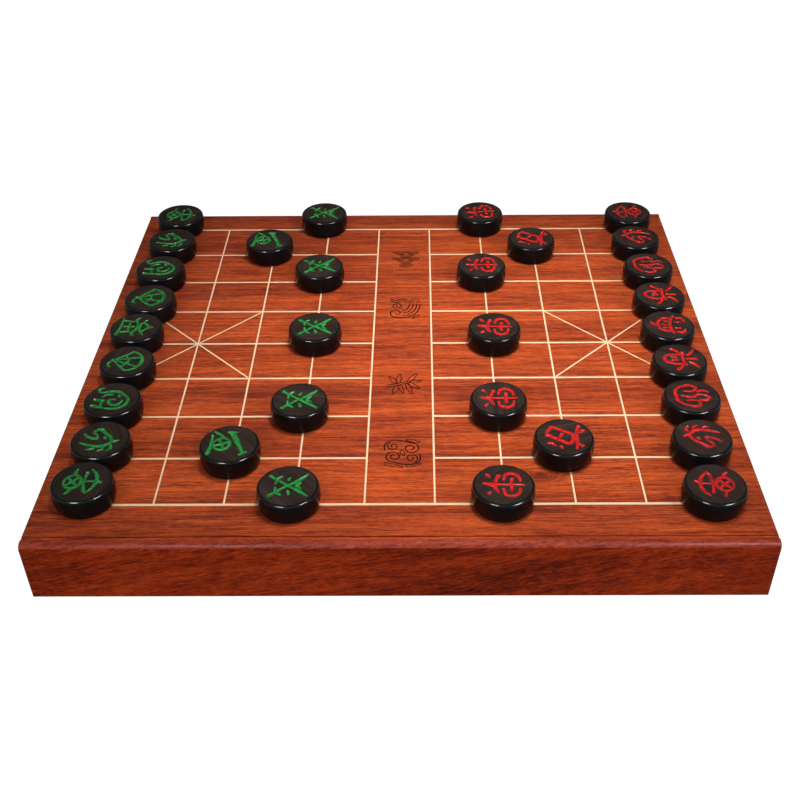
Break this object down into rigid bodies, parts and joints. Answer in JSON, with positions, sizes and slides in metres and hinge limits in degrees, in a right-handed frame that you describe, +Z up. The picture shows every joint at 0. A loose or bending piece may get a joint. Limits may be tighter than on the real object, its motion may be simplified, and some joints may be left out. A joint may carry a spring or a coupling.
{
  "type": "xiangqi box",
  "caption": "Low hardwood xiangqi box whose top is the inlaid playing board, with a piece drawer in each end and turned discs set out for a game.",
  "frame": {"origin": "on the floor under the middle of the case", "axes": "+X from the green player to the red player, +Y from the viewer's side to the far side, +Z up"},
  "size_m": [0.52, 0.474, 0.0686],
  "materials": {
    "rosewood_top": "satin lacquered rosewood, grain along the length",
    "rosewood_rail": "satin lacquered rosewood",
    "rosewood_end": "satin lacquered rosewood, grain across the end",
    "maple_inlay": "pale wood stringing flush with the panel",
    "ebony_green": "ebony, matte top and polished side, carved mark painted green",
    "ebony_red": "ebony, matte top and polished side, carved mark painted red",
    "secondary_wood": "plain oiled hardwood inside the case",
    "plywood": "thin plywood",
    "lining_felt": "black felt",
    "pad_felt": "dense black felt",
    "zinc_screw": "zinc plated"
  },
  "bodies": {
    "case": {"back_rail": "rosewood_rail", "back_runner": "secondary_wood", "border_inlay": "maple_inlay", "bottom_panel": "plywood", "bottom_screws": "zinc_screw", "centre_partition": "secondary_wood", "drawer_stops": "secondary_wood", "felt_pads": "pad_felt", "front_rail": "rosewood_rail", "front_runner": "secondary_wood", "grid_inlay": "maple_inlay", "left_end_board": "rosewood_end", "palace_inlay": "maple_inlay", "rail_dowels": "secondary_wood", "right_end_board": "rosewood_end", "top_panel": "rosewood_top"},
    "left_drawer": {"left_drawer_back": "secondary_wood", "left_drawer_back_side": "secondary_wood", "left_drawer_front": "rosewood_end", "left_drawer_front_side": "secondary_wood", "left_drawer_lining": "lining_felt", "left_drawer_tray": "plywood"},
    "right_drawer": {"right_drawer_back": "secondary_wood", "right_drawer_back_side": "secondary_wood", "right_drawer_front": "rosewood_end", "right_drawer_front_side": "secondary_wood", "right_drawer_lining": "lining_felt", "right_drawer_tray": "plywood"},
    "green_advisor_back_piece": {"green_advisor_back": "ebony_green"},
    "green_advisor_front_piece": {"green_advisor_front": "ebony_green"},
    "green_cannon_back_piece": {"green_cannon_back": "ebony_green"},
    "green_cannon_front_piece": {"green_cannon_front": "ebony_green"},
    "green_chariot_back_piece": {"green_chariot_back": "ebony_green"},
    "green_chariot_front_piece": {"green_chariot_front": "ebony_green"},
    "green_elephant_back_piece": {"green_elephant_back": "ebony_green"},
    "green_elephant_front_piece": {"green_elephant_front": "ebony_green"},
    "green_general_piece": {"green_general": "ebony_green"},
    "green_horse_back_piece": {"green_horse_back": "ebony_green"},
    "green_horse_front_piece": {"green_horse_front": "ebony_green"},
    "green_soldier_1_piece": {"green_soldier_1": "ebony_green"},
    "green_soldier_2_piece": {"green_soldier_2": "ebony_green"},
    "green_soldier_3_piece": {"green_soldier_3": "ebony_green"},
    "green_soldier_4_piece": {"green_soldier_4": "ebony_green"},
    "green_soldier_5_piece": {"green_soldier_5": "ebony_green"},
    "red_advisor_back_piece": {"red_advisor_back": "ebony_red"},
    "red_advisor_front_piece": {"red_advisor_front": "ebony_red"},
    "red_cannon_back_piece": {"red_cannon_back": "ebony_red"},
    "red_cannon_front_piece": {"red_cannon_front": "ebony_red"},
    "red_chariot_back_piece": {"red_chariot_back": "ebony_red"},
    "red_chariot_front_piece": {"red_chariot_front": "ebony_red"},
    "red_elephant_back_piece": {"red_elephant_back": "ebony_red"},
    "red_elephant_front_piece": {"red_elephant_front": "ebony_red"},
    "red_general_piece": {"red_general": "ebony_red"},
    "red_horse_back_piece": {"red_horse_back": "ebony_red"},
    "red_horse_front_piece": {"red_horse_front": "ebony_red"},
    "red_soldier_1_piece": {"red_soldier_1": "ebony_red"},
    "red_soldier_2_piece": {"red_soldier_2": "ebony_red"},
    "red_soldier_3_piece": {"red_soldier_3": "ebony_red"},
    "red_soldier_4_piece": {"red_soldier_4": "ebony_red"},
    "red_soldier_5_piece": {"red_soldier_5": "ebony_red"}
  },
  "joints": [
    {"name": "left_drawer_slide", "type": "slide", "parent": "case", "child": "left_drawer", "axis": [-1, 0, 0], "range_m": [0, 0.189]},
    {"name": "right_drawer_slide", "type": "slide", "parent": "case", "child": "right_drawer", "axis": [1, 0, 0], "range_m": [0, 0.189]},
    {"name": "green_advisor_back_lift", "type": "slide", "parent": "case", "child": "green_advisor_back_piece", "axis": [0, 0, 1], "range_m": [0, 0.06]},
    {"name": "green_advisor_front_lift", "type": "slide", "parent": "case", "child": "green_advisor_front_piece", "axis": [0, 0, 1], "range_m": [0, 0.06]},
    {"name": "green_cannon_back_lift", "type": "slide", "parent": "case", "child": "green_cannon_back_piece", "axis": [0, 0, 1], "range_m": [0, 0.06]},
    {"name": "green_cannon_front_lift", "type": "slide", "parent": "case", "child": "green_cannon_front_piece", "axis": [0, 0, 1], "range_m": [0, 0.06]},
    {"name": "green_chariot_back_lift", "type": "slide", "parent": "case", "child": "green_chariot_back_piece", "axis": [0, 0, 1], "range_m": [0, 0.06]},
    {"name": "green_chariot_front_lift", "type": "slide", "parent": "case", "child": "green_chariot_front_piece", "axis": [0, 0, 1], "range_m": [0, 0.06]},
    {"name": "green_elephant_back_lift", "type": "slide", "parent": "case", "child": "green_elephant_back_piece", "axis": [0, 0, 1], "range_m": [0, 0.06]},
    {"name": "green_elephant_front_lift", "type": "slide", "parent": "case", "child": "green_elephant_front_piece", "axis": [0, 0, 1], "range_m": [0, 0.06]},
    {"name": "green_general_lift", "type": "slide", "parent": "case", "child": "green_general_piece", "axis": [0, 0, 1], "range_m": [0, 0.06]},
    {"name": "green_horse_back_lift", "type": "slide", "parent": "case", "child": "green_horse_back_piece", "axis": [0, 0, 1], "range_m": [0, 0.06]},
    {"name": "green_horse_front_lift", "type": "slide", "parent": "case", "child": "green_horse_front_piece", "axis": [0, 0, 1], "range_m": [0, 0.06]},
    {"name": "green_soldier_1_lift", "type": "slide", "parent": "case", "child": "green_soldier_1_piece", "axis": [0, 0, 1], "range_m": [0, 0.06]},
    {"name": "green_soldier_2_lift", "type": "slide", "parent": "case", "child": "green_soldier_2_piece", "axis": [0, 0, 1], "range_m": [0, 0.06]},
    {"name": "green_soldier_3_lift", "type": "slide", "parent": "case", "child": "green_soldier_3_piece", "axis": [0, 0, 1], "range_m": [0, 0.06]},
    {"name": "green_soldier_4_lift", "type": "slide", "parent": "case", "child": "green_soldier_4_piece", "axis": [0, 0, 1], "range_m": [0, 0.06]},
    {"name": "green_soldier_5_lift", "type": "slide", "parent": "case", "child": "green_soldier_5_piece", "axis": [0, 0, 1], "range_m": [0, 0.06]},
    {"name": "red_advisor_back_lift", "type": "slide", "parent": "case", "child": "red_advisor_back_piece", "axis": [0, 0, 1], "range_m": [0, 0.06]},
    {"name": "red_advisor_front_lift", "type": "slide", "parent": "case", "child": "red_advisor_front_piece", "axis": [0, 0, 1], "range_m": [0, 0.06]},
    {"name": "red_cannon_back_lift", "type": "slide", "parent": "case", "child": "red_cannon_back_piece", "axis": [0, 0, 1], "range_m": [0, 0.06]},
    {"name": "red_cannon_front_lift", "type": "slide", "parent": "case", "child": "red_cannon_front_piece", "axis": [0, 0, 1], "range_m": [0, 0.06]},
    {"name": "red_chariot_back_lift", "type": "slide", "parent": "case", "child": "red_chariot_back_piece", "axis": [0, 0, 1], "range_m": [0, 0.06]},
    {"name": "red_chariot_front_lift", "type": "slide", "parent": "case", "child": "red_chariot_front_piece", "axis": [0, 0, 1], "range_m": [0, 0.06]},
    {"name": "red_elephant_back_lift", "type": "slide", "parent": "case", "child": "red_elephant_back_piece", "axis": [0, 0, 1], "range_m": [0, 0.06]},
    {"name": "red_elephant_front_lift", "type": "slide", "parent": "case", "child": "red_elephant_front_piece", "axis": [0, 0, 1], "range_m": [0, 0.06]},
    {"name": "red_general_lift", "type": "slide", "parent": "case", "child": "red_general_piece", "axis": [0, 0, 1], "range_m": [0, 0.06]},
    {"name": "red_horse_back_lift", "type": "slide", "parent": "case", "child": "red_horse_back_piece", "axis": [0, 0, 1], "range_m": [0, 0.06]},
    {"name": "red_horse_front_lift", "type": "slide", "parent": "case", "child": "red_horse_front_piece", "axis": [0, 0, 1], "range_m": [0, 0.06]},
    {"name": "red_soldier_1_lift", "type": "slide", "parent": "case", "child": "red_soldier_1_piece", "axis": [0, 0, 1], "range_m": [0, 0.06]},
    {"name": "red_soldier_2_lift", "type": "slide", "parent": "case", "child": "red_soldier_2_piece", "axis": [0, 0, 1], "range_m": [0, 0.06]},
    {"name": "red_soldier_3_lift", "type": "slide", "parent": "case", "child": "red_soldier_3_piece", "axis": [0, 0, 1], "range_m": [0, 0.06]},
    {"name": "red_soldier_4_lift", "type": "slide", "parent": "case", "child": "red_soldier_4_piece", "axis": [0, 0, 1], "range_m": [0, 0.06]},
    {"name": "red_soldier_5_lift", "type": "slide", "parent": "case", "child": "red_soldier_5_piece", "axis": [0, 0, 1], "range_m": [0, 0.06]}
  ]
}
